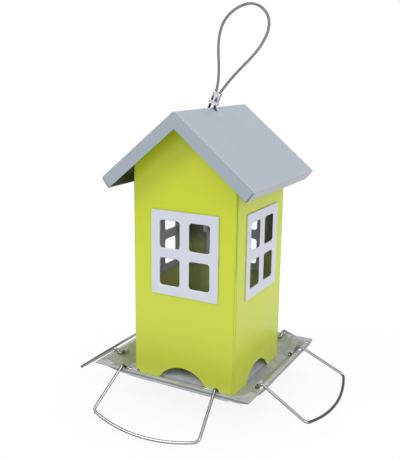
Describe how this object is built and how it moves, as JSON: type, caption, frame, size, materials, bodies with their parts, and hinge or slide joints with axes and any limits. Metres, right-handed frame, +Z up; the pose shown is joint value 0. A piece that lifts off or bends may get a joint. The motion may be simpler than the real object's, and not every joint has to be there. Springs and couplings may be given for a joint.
{
  "type": "hanging seed feeder shaped like a house",
  "caption": "House-shaped hanging seed feeder with lime walls, windows, a gable roof that slides up its cable, a sloping tray and hinged wire perches.",
  "frame": {"origin": "middle of the seed tray's flat underside", "axes": "+Z up along the hanging cable, -Y towards the front gable wall, the roof ridge along Y"},
  "size_m": [0.2464, 0.2442, 0.3431],
  "materials": {
    "lime_paint": "gloss",
    "grey_paint": "satin",
    "white_paint": "satin",
    "zinc_sheet": "satin",
    "perch_wire": "polished",
    "cable": "satin",
    "crimped_aluminium": "satin",
    "clear_plastic": "gloss",
    "rivet_metal": "satin"
  },
  "bodies": {
    "housing": {"house_walls": "lime_paint", "front_window_frame": "white_paint", "right_window_frame": "white_paint", "back_window_frame": "white_paint", "left_window_frame": "white_paint", "front_pane": "clear_plastic", "right_pane": "clear_plastic", "back_pane": "clear_plastic", "left_pane": "clear_plastic", "seed_tray": "zinc_sheet", "seed_deflector": "zinc_sheet", "hanger_strap": "zinc_sheet", "strap_rivets": "rivet_metal", "seam_rivets": "rivet_metal", "foot_rivets": "rivet_metal", "tray_rivets": "rivet_metal"},
    "roof_cover": {"roof": "grey_paint"},
    "hanger": {"hanging_cable": "cable", "crimp_sleeve": "crimped_aluminium", "cable_stops": "crimped_aluminium"},
    "front_bail": {"front_perch": "perch_wire"},
    "right_bail": {"right_perch": "perch_wire"},
    "back_bail": {"back_perch": "perch_wire"},
    "left_bail": {"left_perch": "perch_wire"}
  },
  "joints": [
    {"name": "roof_lift", "type": "slide", "parent": "housing", "child": "roof_cover", "axis": [0, 0, 1], "range_m": [0, 0.042]},
    {"name": "hanger_slide", "type": "slide", "parent": "housing", "child": "hanger", "axis": [0, 0, 1], "range_m": [0, 0.042]},
    {"name": "front_perch_fold", "type": "hinge", "parent": "housing", "child": "front_bail", "pos_m": [0, -0.0684, 0.01139], "axis": [-1, 0, 0], "range_deg": [0, 126.6]},
    {"name": "right_perch_fold", "type": "hinge", "parent": "housing", "child": "right_bail", "pos_m": [0.0684, 0, 0.01139], "axis": [0, -1, 0], "range_deg": [0, 117.3]},
    {"name": "back_perch_fold", "type": "hinge", "parent": "housing", "child": "back_bail", "pos_m": [0, 0.0684, 0.01139], "axis": [1, 0, 0], "range_deg": [0, 120]},
    {"name": "left_perch_fold", "type": "hinge", "parent": "housing", "child": "left_bail", "pos_m": [-0.0684, 0, 0.01139], "axis": [0, 1, 0], "range_deg": [0, 125]}
  ],
  "couplings": [
    {"joint": "hanger_slide", "follows": "roof_lift", "ratio": 1}
  ]
}
